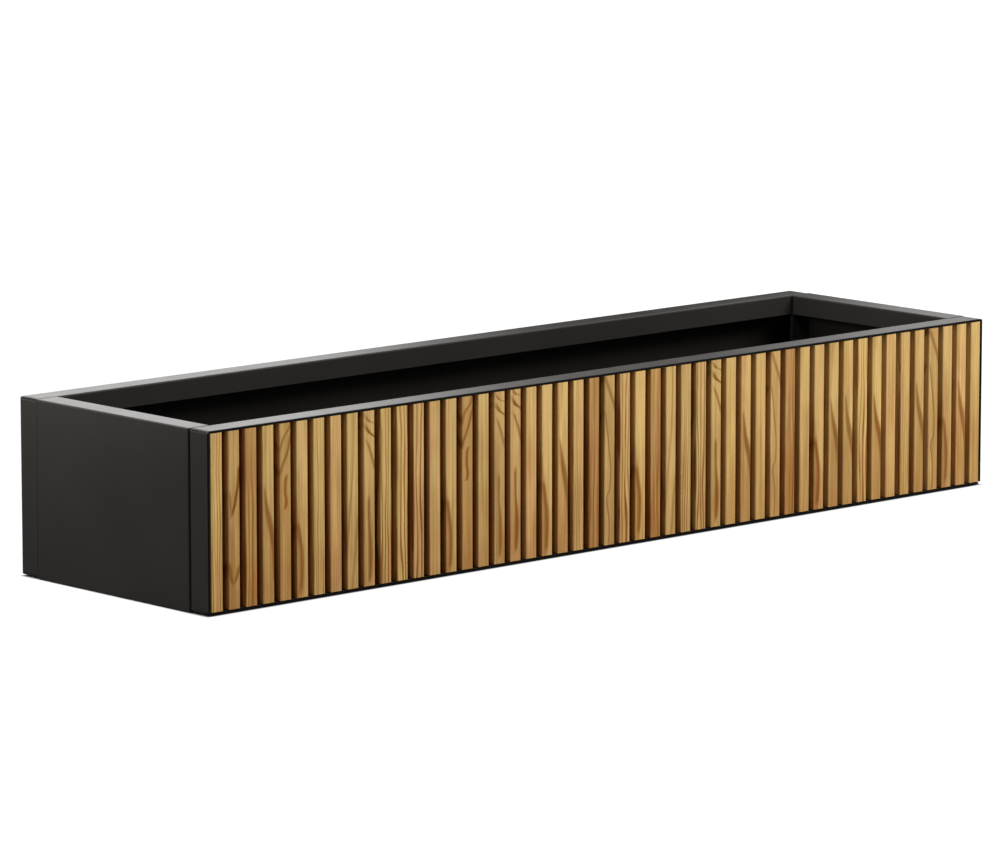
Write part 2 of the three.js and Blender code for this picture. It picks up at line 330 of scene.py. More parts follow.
class NodeSheet:
    """A node tree with short calls that add a node and join it to others"""

    def __init__(self, tree):
        self.tree = tree

    def add(self, kind, inputs=None, **settings):
        node = self.tree.nodes.new(kind)
        for name, value in settings.items():
            setattr(node, name, value)
        for name, value in (inputs or {}).items():
            self.feed(node.inputs[name], value)
        return node

    def feed(self, socket, value):
        if isinstance(value, bpy.types.NodeSocket):
            self.tree.links.new(value, socket)
        elif isinstance(value, tuple) and len(value) < len(socket.default_value):
            socket.default_value = (*value, 1.0)
        elif socket.type != "SHADER":
            socket.default_value = value

    def math(self, operation, *values, clamp=False):
        inputs = dict(enumerate(values))
        return self.add("ShaderNodeMath", inputs, operation=operation, use_clamp=clamp).outputs[0]

    def calls(self, *operations):
        """A short call for each operation"""
        return [partial(self.math, operation) for operation in operations]

    def swing(self, chance, width):
        """A random number from 0 to 1, moved to lie round zero within a width"""
        return self.math("MULTIPLY", self.math("SUBTRACT", chance, 0.5), width)

    def vector(self, x, y, z):
        return self.add("ShaderNodeCombineXYZ", {"X": x, "Y": y, "Z": z}).outputs[0]

    def parts(self, vector):
        return self.add("ShaderNodeSeparateXYZ", {"Vector": vector}).outputs

    def blend(self, factor, low, high, blend_type="MIX"):
        """A mix of two colours"""
        node = self.add("ShaderNodeMix", data_type="RGBA", blend_type=blend_type, clamp_factor=True)
        for index, value in ((0, factor), (6, low), (7, high)):
            self.feed(node.inputs[index], value)
        return node.outputs[2]

    def ease(self, value, low, high, to_low=0.0, to_high=1.0):
        """A smooth change from one number to another while a value goes from low to high"""
        inputs = {
            "Value": value,
            "From Min": low,
            "From Max": high,
            "To Min": to_low,
            "To Max": to_high,
        }
        return self.add("ShaderNodeMapRange", inputs, interpolation_type="SMOOTHSTEP").outputs[0]

    def noise(self, vector, scale, detail, roughness=0.5):
        """A slow random number for a place"""
        inputs = {"Vector": vector, "Scale": scale, "Detail": detail, "Roughness": roughness}
        return self.add("ShaderNodeTexNoise", inputs, noise_dimensions="3D").outputs["Fac"]

    def noise_parts(self, vector, scale, detail):
        """Three slow random numbers for a place"""
        node = self.add("ShaderNodeTexNoise", {"Vector": vector, "Scale": scale, "Detail": detail})
        return self.add("ShaderNodeSeparateColor", {"Color": node.outputs["Color"]}).outputs

    def chance(self, number):
        """Three even random numbers for a whole number"""
        node = self.add("ShaderNodeTexWhiteNoise", {"W": number}, noise_dimensions="1D")
        return self.add("ShaderNodeSeparateColor", {"Color": node.outputs["Color"]}).outputs


def new_group(name, inputs, outputs):
    """An empty shader node group with named sockets, given as (name, kind, default)"""
    tree = bpy.data.node_groups.new(name, "ShaderNodeTree")
    for socket_name, kind, default in inputs:
        socket = tree.interface.new_socket(socket_name, in_out="INPUT", socket_type=kind)
        if default is not None:
            socket.default_value = default
    for socket_name, kind in outputs:
        tree.interface.new_socket(socket_name, in_out="OUTPUT", socket_type=kind)
    sheet = NodeSheet(tree)
    entry = sheet.add("NodeGroupInput").outputs
    leave = sheet.add("NodeGroupOutput").inputs
    return sheet, entry, leave


def place_group(sheet, name, values):
    node = sheet.tree.nodes.new("ShaderNodeGroup")
    node.node_tree = bpy.data.node_groups[name]
    for socket_name, value in values.items():
        sheet.feed(node.inputs[socket_name], value)
    return node.outputs


def fine_texture_group():
    """The pebbled surface of a sprayed or plated finish, with slow patches in its gloss"""
    sheet, entry, leave = new_group(
        "fine_texture",
        [
            ("Place", "NodeSocketVector", None),
            ("Grain Size", "NodeSocketFloat", 0.001),
            ("Patch Size", "NodeSocketFloat", 0.12),
            ("Roughness", "NodeSocketFloat", 0.35),
            ("Roughness Spread", "NodeSocketFloat", 0.08),
        ],
        [
            ("Height", "NodeSocketFloat"),
            ("Roughness", "NodeSocketFloat"),
            ("Patches", "NodeSocketFloat"),
        ],
    )
    add, over = sheet.calls("ADD", "DIVIDE")
    place = entry["Place"]
    pebbles = sheet.noise(place, over(0.5, entry["Grain Size"]), detail=1.0, roughness=0.45)
    patches = sheet.noise(place, over(1.0, entry["Patch Size"]), detail=3.0, roughness=0.55)
    spread = sheet.swing(patches, entry["Roughness Spread"])
    fine_spread = sheet.swing(pebbles, 0.06)
    sheet.feed(leave["Height"], pebbles)
    sheet.feed(leave["Roughness"], add(add(entry["Roughness"], spread), fine_spread))
    sheet.feed(leave["Patches"], patches)


def settled_dust_group():
    """Fine dust on faces that look up, thinner where it has been brushed off"""
    sheet, entry, leave = new_group(
        "settled_dust",
        [
            ("Place", "NodeSocketVector", None),
            ("Amount", "NodeSocketFloat", 0.5),
        ],
        [("Mask", "NodeSocketFloat")],
    )
    place = entry["Place"]
    up = sheet.parts(sheet.add("ShaderNodeNewGeometry").outputs["Normal"])[2]
    cover = sheet.ease(up, 0.35, 0.95)
    clouds = sheet.ease(sheet.noise(place, scale=16.0, detail=4.0, roughness=0.6), 0.3, 0.75)
    specks = sheet.ease(sheet.noise(place, scale=700.0, detail=1.0), 0.35, 0.75, 0.5, 1.0)
    mask = sheet.math("MULTIPLY", sheet.math("MULTIPLY", cover, clouds), specks)
    sheet.feed(leave["Mask"], sheet.math("MULTIPLY", mask, entry["Amount"], clamp=True))


def slat_place_group():
    """Where a point lies on its slat, from 0 to 1 across its face and up it.

    The places drift a little, by another amount for each slat, so that the slats sawn from one
    board look alike but are never the same.
    """
    sheet, entry, leave = new_group(
        "slat_place",
        [
            ("Place", "NodeSocketVector", None),
            ("First Slat", "NodeSocketFloat", 0.0),
            ("Pitch", "NodeSocketFloat", 0.03),
            ("Width", "NodeSocketFloat", 0.02),
            ("Foot", "NodeSocketFloat", 0.0),
            ("Top", "NodeSocketFloat", 0.25),
            ("Front", "NodeSocketFloat", -0.2),
            ("Slant", "NodeSocketFloat", 0.35),
        ],
        [
            ("Across", "NodeSocketFloat"),
            ("Up", "NodeSocketFloat"),
            ("Inward", "NodeSocketFloat"),
            ("Number", "NodeSocketFloat"),
        ],
    )
    add, take, times, over = sheet.calls("ADD", "SUBTRACT", "MULTIPLY", "DIVIDE")
    x, y, z = sheet.parts(entry["Place"])
    along = over(take(x, entry["First Slat"]), entry["Pitch"])
    number = sheet.math("FLOOR", add(along, 0.5))
    across = add(over(times(take(along, number), entry["Pitch"]), entry["Width"]), 0.5)
    inward = over(take(y, entry["Front"]), entry["Width"])
    up = over(take(z, entry["Foot"]), take(entry["Top"], entry["Foot"]))
    shift = sheet.chance(number)
    bend_place = sheet.vector(times(across, 0.6), times(number, 3.7), times(up, 3.2))
    bends = sheet.noise_parts(bend_place, scale=1.0, detail=2.0)
    drift_across = add(sheet.swing(shift[0], 0.08), sheet.swing(bends[0], 0.16))
    drift_up = add(sheet.swing(shift[1], 0.04), sheet.swing(bends[1], 0.03))
    slanted = add(across, times(inward, entry["Slant"]))
    sheet.feed(leave["Across"], add(slanted, drift_across))
    sheet.feed(leave["Up"], add(up, drift_up))
    sheet.feed(leave["Inward"], inward)
    sheet.feed(leave["Number"], number)


def wood_grain_group():
    """The colour of a slat from its heartwood and its dark lines, with fibres and painted shade in
    the grooves
    """
    sheet, entry, leave = new_group(
        "wood_grain",
        [
            ("Across", "NodeSocketFloat", 0.5),
            ("Up", "NodeSocketFloat", 0.5),
            ("Inward", "NodeSocketFloat", 0.0),
            ("Number", "NodeSocketFloat", 0.0),
            ("Heart", "NodeSocketFloat", 0.0),
            ("Lines", "NodeSocketFloat", 0.0),
            ("Fibres", "NodeSocketFloat", 30.0),
            ("Pale", "NodeSocketColor", None),
            ("Warm", "NodeSocketColor", None),
            ("Dark", "NodeSocketColor", None),
        ],
        [
            ("Color", "NodeSocketColor"),
            ("Roughness", "NodeSocketFloat"),
            ("Height", "NodeSocketFloat"),
        ],
    )
    add, take, times = sheet.calls("ADD", "SUBTRACT", "MULTIPLY")
    across, up, inward, number = (entry[name] for name in ("Across", "Up", "Inward", "Number"))
    fibres = entry["Fibres"]
    chance = sheet.chance(add(number, SLAT_SEED))
    apart = times(number, 5.3)
    patch_place = sheet.vector(add(times(across, 0.9), apart), inward, add(times(up, 2.6), apart))
    patches = sheet.noise_parts(patch_place, scale=1.0, detail=2.0)
    streak_place = sheet.vector(add(times(across, 5.0), apart), times(inward, 5.0), times(up, 1.2))
    streak = sheet.noise(streak_place, scale=1.0, detail=3.0, roughness=0.6)
    fibre_across = add(times(across, fibres), apart)
    fibre_place = sheet.vector(fibre_across, times(inward, fibres), times(up, 7.0))
    fibre = sheet.noise(fibre_place, scale=1.0, detail=2.0, roughness=0.6)

    # Warmer towards the foot and in slow patches
    foot = sheet.ease(up, 1.05, -0.1, -0.03, 0.40)
    slow = sheet.ease(patches[0], 0.3, 0.7, -0.12, 0.16)
    warmth = add(add(foot, slow), sheet.swing(streak, -0.8))
    heart = sheet.math("MAXIMUM", entry["Heart"], 0.0)
    heart = add(heart, times(warmth, take(1.0, times(heart, 0.6))))
    colour = sheet.blend(heart, entry["Pale"], entry["Warm"])

    # The dark lines, worn in places
    worn = sheet.ease(streak, 0.25, 0.6, 0.85, 1.0)
    lines = times(times(entry["Lines"], worn), add(times(chance[2], 0.2), 0.92))
    colour = sheet.blend(lines, colour, entry["Dark"])

    # Each slat, each fibre and each streak is a little lighter or darker than the next
    tone = add(times(chance[0], 0.14), 0.90)
    tone = times(tone, sheet.ease(fibre, 0.25, 0.75, 0.93, 1.05))
    tone = times(tone, sheet.ease(streak, 0.25, 0.75, 0.84, 1.08))
    toned = sheet.add("ShaderNodeHueSaturation", {"Color": colour, "Value": tone})
    hue = add(sheet.swing(patches[1], 0.02), add(times(chance[1], 0.008), 0.496))
    sheet.feed(toned.inputs["Hue"], hue)

    # Painted shade on the side faces in the grooves between the slats, darker and warmer further
    # in, less of it towards the right
    groove_shade = times(sheet.ease(inward, 0.05, 0.55), sheet.ease(number, 20.0, 50.0, 0.95, 0.0))
    unshaded, shade_colour = (1.0, 1.0, 1.0), (0.40, 0.17, 0.05)
    shade_tint = sheet.blend(groove_shade, unshaded, shade_colour)
    sheet.feed(leave["Color"], sheet.blend(1.0, toned.outputs[0], shade_tint, "MULTIPLY"))
    sheet.feed(leave["Roughness"], sheet.ease(fibre, 0.2, 0.8, 0.62, 0.48))
    sheet.feed(leave["Height"], take(fibre, times(lines, 0.5)))


def new_material(name):
    material = bpy.data.materials.new(name)
    material.use_nodes = True
    sheet = NodeSheet(material.node_tree)
    shader = material.node_tree.nodes["Principled BSDF"]
    place = sheet.add("ShaderNodeTexCoord").outputs["Object"]
    return material, sheet, shader, place


def add_bump(sheet, shader, height, strength, distance):
    inputs = {"Height": height, "Strength": strength, "Distance": distance}
    sheet.feed(shader.inputs["Normal"], sheet.add("ShaderNodeBump", inputs).outputs[0])


def coat_material():
    """Near black powder coat with a fine texture and a trace of dust on top, and painted shade on
    the edge round the slats and inside the box
    """
    coat = bpy.context.scene.planter_coat
    material, sheet, shader, place = new_material("powder_coat_black")
    texture = place_group(
        sheet,
        "fine_texture",
        {
            "Place": place,
            "Grain Size": coat.speckle,
            "Patch Size": 0.16,
            "Roughness": coat.roughness,
            "Roughness Spread": 0.05,
        },
    )
    dust = place_group(sheet, "settled_dust", {"Place": place, "Amount": 0.35})["Mask"]
    darker = tuple(0.8 * value for value in coat.colour)
    lighter = tuple(1.2 * value for value in coat.colour)
    colour = sheet.blend(texture["Patches"], darker, lighter)

    # Painted shade: the front of the folded edge that frames the slats is darkened
    fade_start, fade_end = 0.0009, 0.0016
    _, y, z = sheet.parts(place)
    behind_front = sheet.math("SUBTRACT", y, SLAT_LOW.y)
    frame_painted_shade = sheet.ease(behind_front, fade_start, fade_end, coat.frame_painted_shade, 1.0)

    # Painted shade darkens the faces that look into the box too, the lips less than what lies below
    # them
    lip_shade_share = 0.46
    both = {0: sheet.add("ShaderNodeNewGeometry").outputs["Normal"], 1: place}
    outward = sheet.add("ShaderNodeVectorMath", both, operation="DOT_PRODUCT").outputs["Value"]
    inward = sheet.ease(outward, 0.0, -0.02)
    below_lips = sheet.ease(z, LIP_LOW, LIP_LOW - 0.001, lip_shade_share, 1.0)
    inside = sheet.math("MULTIPLY", inward, below_lips)
    inside_painted_shade = sheet.ease(inside, 0.0, 1.0, 1.0, coat.inside_painted_shade)
    shade = sheet.math("MULTIPLY", frame_painted_shade, inside_painted_shade)
    colour = sheet.blend(1.0, colour, sheet.vector(shade, shade, shade), "MULTIPLY")
    sheet.feed(shader.inputs["Base Color"], sheet.blend(dust, colour, tuple(coat.dust)))
    rough = sheet.math("ADD", texture["Roughness"], sheet.math("MULTIPLY", dust, 0.15))
    sheet.feed(shader.inputs["Roughness"], rough)
    add_bump(sheet, shader, texture["Height"], strength=0.12, distance=0.00008)
    shader.inputs["Specular IOR Level"].default_value = 0.10
    return material


class Grain:
    """Draws the grain of one board. Places run from 0 to 1 across the face and up the slat.

    A route is a smooth line through a few points, each given as (up, across).
    """

    def __init__(self, sheet, slat):
        self.sheet = sheet
        self.across = slat["Across"]
        self.up = slat["Up"]
        self.number = slat["Number"]
        self.heart = 0.0
        self.lines = 0.0

    def route(self, points):
        node = self.sheet.add("ShaderNodeFloatCurve", {"Value": self.up})
        node.mapping.use_clip = False
        curve = node.mapping.curves[0]
        for end, (up, across) in zip(curve.points, (points[0], points[-1])):
            end.location = (up, across)
        for up, across in points[1:-1]:
            curve.points.new(up, across)
        node.mapping.update()
        return node.outputs[0]

    def between(self, low, high, soft=0.03):
        rise = self.sheet.ease(self.up, low - soft, low + soft)
        return self.sheet.math("MULTIPLY", rise, self.sheet.ease(self.up, high + soft, high - soft))

    def darken(self, mask):
        self.lines = self.sheet.math("MAXIMUM", self.lines, mask)

    def stroke(self, points, width, depth, soft, swell=None):
        """A dark stroke along a route, fading at both its ends.

        It can swell in one place, given as (how high up, how far from there, how much wider).
        """
        take, times = self.sheet.calls("SUBTRACT", "MULTIPLY")
        away = self.sheet.math("ABSOLUTE", take(self.across, self.route(points)))
        if swell:
            up, reach, wider = swell
            near = self.sheet.math("ABSOLUTE", take(self.up, up))
            away = take(away, self.sheet.ease(near, reach, 0.0, 0.0, wider / 2))
        mask = self.sheet.ease(away, width / 2 + soft, width / 2 - soft, 0.0, depth)
        self.darken(times(mask, self.between(points[0][0], points[-1][0])))

    def heartwood(self, depth, points=None, side=1, soft=0.08):
        """Warm wood all over, or on one side of a route: 1 to its right and -1 to its left"""
        mask = depth
        if points:
            past = self.sheet.math("SUBTRACT", self.across, self.route(points))
            mask = self.sheet.ease(self.sheet.math("MULTIPLY", past, side), -soft, soft, 0.0, depth)
        self.heart = self.sheet.math("MAXIMUM", self.heart, mask)

    def rings(self, count, width, soft, weakest, depth_top, depth_foot):
        """Wavy lines up the whole slat, some strong and some weak, all darker towards the foot.

        Width and softness are shares of the distance between two of so many lines across a face.
        """
        sheet = self.sheet
        add, take, times = sheet.calls("ADD", "SUBTRACT", "MULTIPLY")
        chance = sheet.chance(add(self.number, LINE_SEED))
        place = sheet.vector(times(self.across, 1.3), times(self.number, 7.3), times(self.up, 1.6))
        bend = times(sheet.noise(place, scale=1.0, detail=1.0), 2.2)
        phase = add(add(times(self.across, count), bend), times(chance[0], 3.0))
        ring = sheet.math("FLOOR", phase)
        off = sheet.math("ABSOLUTE", take(take(phase, ring), 0.5))
        mask = sheet.ease(off, (width + soft) / 2, (width - soft) / 2)
        ring_chance = sheet.chance(add(ring, times(self.number, LINE_STEP)))[0]
        strength = sheet.ease(ring_chance, 0.15, 0.75, weakest, 1.0)
        depth = sheet.ease(self.up, 1.0, 0.1, depth_top, depth_foot)
        self.darken(times(times(mask, strength), depth))


def plain_board(grain):
    """Pale sapwood"""
    grain.heartwood(depth=0.15)


def swept_board(grain):
    """Pale, with a patch of heartwood low on the left, darkest along its edge"""
    lower_edge = ((0, 0.44), (0.12, 0.56), (0.22, 0.60), (0.32, 0.44))
    upper_edge = ((0.40, 0.26), (0.52, 0.08), (0.66, -0.1))
    grain.heartwood(depth=0.5, points=lower_edge + upper_edge, side=-1, soft=0.10)
    route = ((0.03, 0.34), (0.12, 0.42), (0.22, 0.42), (0.32, 0.28), (0.42, 0.08))
    grain.stroke(route, width=0.30, depth=0.85, soft=0.15)


def crossed_board(grain):
    """Warm on the left, with one broad stroke that crosses the face"""
    lower_edge = ((0, 1.2), (0.3, 0.98), (0.40, 0.80), (0.50, 0.52))
    upper_edge = ((0.62, 0.28), (0.78, 0.32), (1, 0.50))
    grain.heartwood(depth=0.34, points=lower_edge + upper_edge, side=-1, soft=0.12)
    route = ((0.12, 1.04), (0.28, 0.94), (0.38, 0.82), (0.46, 0.62), (0.54, 0.40), (0.66, 0.20))
    grain.stroke(route, width=0.12, depth=0.85, soft=0.13, swell=(0.45, 0.22, 0.34))


def curly_board(grain):
    """Heartwood all over, with curly strokes in the upper half"""
    grain.heartwood(depth=0.5)
    top = ((0.86, 0.05), (0.905, 0.2), (0.94, 0.42), (0.98, 0.86), (1.04, 1.0))
    grain.stroke(top, width=0.22, depth=0.78, soft=0.10)
    upper = ((0.72, 0.0), (0.77, 0.2), (0.82, 0.5), (0.87, 0.75), (0.95, 1.0))
    grain.stroke(upper, width=0.22, depth=0.88, soft=0.10)
    curl = ((0.52, 0.15), (0.53, 0.42), (0.57, 0.54), (0.625, 0.46), (0.68, 0.48), (0.73, 0.8))
    grain.stroke(curl, width=0.24, depth=0.96, soft=0.10)


def arched_board(grain):
    """Warm, with arches under the top and a dark streak low down"""
    grain.heartwood(depth=0.16)
    top_arch = ((0.935, 1.1), (0.945, 0.8), (0.955, 0.5), (0.985, 0.2))
    grain.stroke(top_arch, width=0.26, depth=0.8, soft=0.12)
    second_arch = ((0.855, 1.1), (0.87, 0.85), (0.89, 0.5), (0.93, 0.2))
    grain.stroke(second_arch, width=0.3, depth=0.95, soft=0.12)
    third_arch = ((0.68, 0.95), (0.75, 0.72), (0.80, 0.5), (0.84, 0.3))
    grain.stroke(third_arch, width=0.22, depth=0.7, soft=0.10)
    streak = ((0.04, 0.50), (0.14, 0.58), (0.26, 0.56), (0.38, 0.46), (0.52, 0.44))
    grain.stroke(streak, width=0.2, depth=0.9, soft=0.14, swell=(0.18, 0.2, 0.2))


def lined_board(grain):
    """Pale, with wavy lines that darken towards the foot"""
    grain.rings(count=3.3, width=0.34, soft=0.30, weakest=0.7, depth_top=0.7, depth_foot=1.1)


def fine_board(grain):
    """Pale, with fine lines close together"""
    grain.heartwood(depth=0.06)
    grain.rings(count=4.8, width=0.28, soft=0.34, weakest=0.45, depth_top=0.5, depth_foot=1.0)


def striped_board(grain):
    """Heartwood with soft stripes"""
    grain.heartwood(depth=0.5)
    grain.rings(count=2.4, width=0.40, soft=0.44, weakest=0.5, depth_top=0.45, depth_foot=0.9)


def bold_board(grain):
    """Warm, with one bold curved stroke and a blotch near the foot"""
    grain.heartwood(depth=0.33)
    bold = ((0.53, 0.25), (0.56, 0.4), (0.60, 0.56), (0.65, 0.68), (0.70, 0.82), (0.80, 0.92))
    grain.stroke(bold, width=0.24, depth=1.0, soft=0.09)
    branch = ((0.54, 0.2), (0.60, 0.16), (0.66, 0.10))
    grain.stroke(branch, width=0.16, depth=0.7, soft=0.09)
    blotch_left = ((0.14, 0.42), (0.17, 0.20), (0.26, 0.06))
    blotch_right = ((0.14, 0.38), (0.17, 0.62), (0.24, 0.88))
    for route in (blotch_left, blotch_right):
        grain.stroke(route, width=0.24, depth=0.85, soft=0.12)


def slanted_board(grain):
    """Slanting strokes at the top, and a thin line that bends in and out below them"""
    lower_edge = ((0, 0.40), (0.12, 0.48), (0.21, 0.36), (0.27, 0.26))
    upper_edge = ((0.33, 0.52), (0.42, 0.60), (0.54, 0.46), (0.78, 0.10))
    grain.heartwood(depth=0.24, points=lower_edge + upper_edge, side=1, soft=0.08)
    grain.stroke(lower_edge + upper_edge, width=0.10, depth=0.85, soft=0.07)
    slant = ((0.76, 1.1), (0.82, 0.92), (0.88, 0.62), (0.94, 0.3), (1.0, 0.0))
    grain.stroke(slant, width=0.28, depth=0.65, soft=0.12)


def faint_board(grain):
    """Pale, with faint slanting bands"""
    upper = ((0.15, -0.05), (0.35, 0.14), (0.52, 0.36), (0.66, 0.54), (0.85, 0.60), (1.05, 0.6))
    grain.stroke(upper, width=0.12, depth=0.55, soft=0.09)
    lower = ((-0.05, 0.42), (0.12, 0.62), (0.28, 0.82), (0.42, 1.05))
    grain.stroke(lower, width=0.2, depth=0.5, soft=0.12)


BOARDS = {
    "p": plain_board,
    "s": swept_board,
    "x": crossed_board,
    "c": curly_board,
    "a": arched_board,
    "l": lined_board,
    "i": fine_board,
    "t": striped_board,
    "b": bold_board,
    "n": slanted_board,
    "f": faint_board,
}

# The board that each slat was sawn from, from left to right
BOARD_ORDER = "ibtxcsiifalllpscpaapsxitnlstfilapxpntpsxxlxpixnsxp"


def wood_material(letter):
    """The wood of one board"""
    wood = bpy.context.scene.planter_wood
    draw = BOARDS[letter]
    material, sheet, shader, place = new_material(f"slat_wood_{draw.__name__}")
    slat = place_group(
        sheet,
        "slat_place",
        {
            "Place": place,
            "First Slat": SLAT_FIRST,
            "Pitch": SLAT_PITCH,
            "Width": SLAT_WIDTH,
            "Foot": SLAT_LOW.z,
            "Top": SLAT_HIGH.z,
            "Front": SLAT_LOW.y,
        },
    )
    grain = Grain(sheet, slat)
    draw(grain)
    surface = place_group(
        sheet,
        "wood_grain",
        {
            "Across": slat["Across"],
            "Up": slat["Up"],
            "Inward": slat["Inward"],
            "Number": slat["Number"],
            "Heart": grain.heart,
            "Lines": grain.lines,
            "Fibres": SLAT_WIDTH / wood.fibre,
            "Pale": tuple(wood.pale),
            "Warm": tuple(wood.warm),
            "Dark": tuple(wood.dark),
        },
    )
    sheet.feed(shader.inputs["Base Color"], surface["Color"])
    sheet.feed(shader.inputs["Roughness"], surface["Roughness"])
    add_bump(sheet, shader, surface["Height"], strength=0.25, distance=0.00015)
    shader.inputs["Specular IOR Level"].default_value = 0.05
    return material


def zinc_material():
    """Zinc plate with a crystalline patchiness and a faint yellow tint"""
    material, sheet, shader, place = new_material("zinc_plate")
    texture = place_group(
        sheet,
        "fine_texture",
        {
            "Place": place,
            "Grain Size": 0.0006,
            "Patch Size": 0.012,
            "Roughness": 0.36,
            "Roughness Spread": 0.22,
        },
    )
    dust = place_group(sheet, "settled_dust", {"Place": place, "Amount": 0.5})["Mask"]
    blue_zinc, yellow_zinc = (0.47, 0.475, 0.48), (0.62, 0.60, 0.54)
    dust_colour = (0.25, 0.23, 0.20)
    tint = sheet.blend(texture["Patches"], blue_zinc, yellow_zinc)
    sheet.feed(shader.inputs["Base Color"], sheet.blend(dust, tint, dust_colour))
    sheet.feed(shader.inputs["Roughness"], texture["Roughness"])
    sheet.feed(shader.inputs["Metallic"], sheet.math("SUBTRACT", 1.0, dust))
    add_bump(sheet, shader, texture["Height"], strength=0.15, distance=0.00005)
    return material


def dress(node_name, material):
    """Gives a CAD node its finish"""
    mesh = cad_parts[node_name].data
    mesh.materials.clear()
    mesh.materials.append(material)


# Modelling


def deselect_all():
    for thing in bpy.context.selected_objects:
        thing.select_set(False)


def faces_where(test):
    """Selects, in edit mode, the faces whose middle and normal pass a test"""
    mesh = bmesh.from_edit_mesh(bpy.context.object.data)
    for face in mesh.faces:
        face.select_set(False)
    mesh.select_mode = {"FACE"}
    for face in mesh.faces:
        if test(face.calc_center_median(), face.normal):
            face.select_set(True)
    mesh.select_flush_mode()
    bmesh.update_edit_mesh(bpy.context.object.data)


def edges_where(test):
    """Selects, in edit mode, the edges whose two ends both pass a test"""
    mesh = bmesh.from_edit_mesh(bpy.context.object.data)
    bpy.ops.mesh.select_mode(type="EDGE")
    bpy.ops.mesh.select_all(action="DESELECT")
    for edge in mesh.edges:
        if all(test(end.co) for end in edge.verts):
            edge.select_set(True)
    bmesh.update_edit_mesh(bpy.context.object.data)


def model_fastener(diameter, height, sides, recess, shank):
    """A round headed fastener on Y: its head stands on y = 0 and its shank points to -Y.

    The recess is the share of the head's width that its hole takes.
    """
    radius = diameter / 2
    rounding = height * 0.5
    recess_depth = height * 0.6
    recess_taper = 0.8
    shoulder = radius * 0.52
    bpy.ops.mesh.primitive_cylinder_add(
        vertices=sides,
        radius=radius,
        depth=height,
        location=(0, height / 2, 0),
        rotation=(math.pi / 2, 0, 0),
    )
    bpy.ops.object.transform_apply(location=True, rotation=True, scale=True)
    bpy.ops.object.mode_set(mode="EDIT")
    edges_where(lambda end: end.y > height * 0.9)
    bpy.ops.mesh.bevel(offset=rounding, segments=2, affect="EDGES")
    faces_where(lambda middle, normal: normal.y > 0.99)
    bpy.ops.mesh.inset(thickness=radius * (1 - recess) / 2)
    bpy.ops.mesh.extrude_region_move(TRANSFORM_OT_translate={"value": (0, -recess_depth, 0)})
    bpy.ops.transform.resize(value=(recess_taper, 1, recess_taper), center_override=(0, 0, 0))
    faces_where(lambda middle, normal: normal.y < -0.99)
    bpy.ops.mesh.inset(thickness=shoulder)
    bpy.ops.mesh.extrude_region_move(TRANSFORM_OT_translate={"value": (0, -shank, 0)})
    bpy.ops.object.mode_set(mode="OBJECT")
    fastener = bpy.context.object
    bpy.ops.object.shade_smooth_by_angle(angle=math.radians(40))
    return fastener


def copies_at(original, places, turns=None):
    """Copies of a modelled piece, each with its own mesh, at so many places"""
    made = []
    for index, place in enumerate(places):
        copy = original.copy()
        copy.data = original.data.copy()
        copy.location = place
        if turns:
            copy.rotation_euler = (0, 0, turns[index])
        bpy.context.collection.objects.link(copy)
        made.append(copy)
    bpy.data.objects.remove(original)
    return made


def joined(things, name):
    """One piece of several copies, with its place in its mesh"""
    deselect_all()
    for thing in things:
        thing.select_set(True)
    bpy.context.view_layer.objects.active = things[0]
    bpy.ops.object.join()
    piece = bpy.context.object
    bpy.ops.object.transform_apply(location=True, rotation=True, scale=True)
    piece.name = piece.data.name = name
    return piece


def finish_piece(piece, material):
    piece.data.materials.clear()
    piece.data.materials.append(material)
    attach(piece, BODY)
    deselect_all()


class PLANTER_OT_coat(bpy.types.Operator):
    """Gives the folded panels, the floor and the tie their powder coat"""

    bl_idname = "planter.coat"
    bl_label = "Coat the panels"

    def execute(self, context):
        material = coat_material()
        for name in COATED:
            dress(name, material)
        return {"FINISHED"}


class PLANTER_OT_wood(bpy.types.Operator):
    """Gives each slat its own piece of wood"""

    bl_idname = "planter.wood"
    bl_label = "Grain the slats"

    def execute(self, context):
        if len(BOARD_ORDER) != len(SLATS):
            raise RuntimeError("BOARD_ORDER needs one letter for each slat")
        materials = {letter: wood_material(letter) for letter in BOARDS}
        for name, letter in zip(SLATS, BOARD_ORDER):
            dress(name, materials[letter])
        return {"FINISHED"}


class PLANTER_OT_strips(bpy.types.Operator):
    """Gives the stud strips in the corners their zinc plate"""

    bl_idname = "planter.strips"
    bl_label = "Plate the stud strips"

    def execute(self, context):
        material = zinc_material()
        for name in STRIPS:
            dress(name, material)
        return {"FINISHED"}


class PLANTER_OT_screws(bpy.types.Operator):
    """Screws every slat to the web of the front tray from behind"""

    bl_idname = "planter.screws"
    bl_label = "Screw the slats"

    def execute(self, context):
        fasteners = context.scene.planter_fasteners
        zinc = bpy.data.materials["zinc_plate"]
        heights = {
            "low": SLAT_LOW.z + fasteners.screw_inset,
            "high": SLAT_HIGH.z - fasteners.screw_inset,
        }
        for row, z in heights.items():
            deselect_all()
            screw = model_fastener(
                fasteners.screw_head,
                fasteners.screw_height,
                fasteners.screw_sides,
                recess=0.76,
                shank=SHEET + SCREW_BITE,
            )
            places = [(SLAT_FIRST + k * SLAT_PITCH, WEB_BACK, z) for k in range(len(SLATS))]
            piece = joined(copies_at(screw, places), f"slat_screws_{row}")
            finish_piece(piece, zinc)
        return {"FINISHED"}


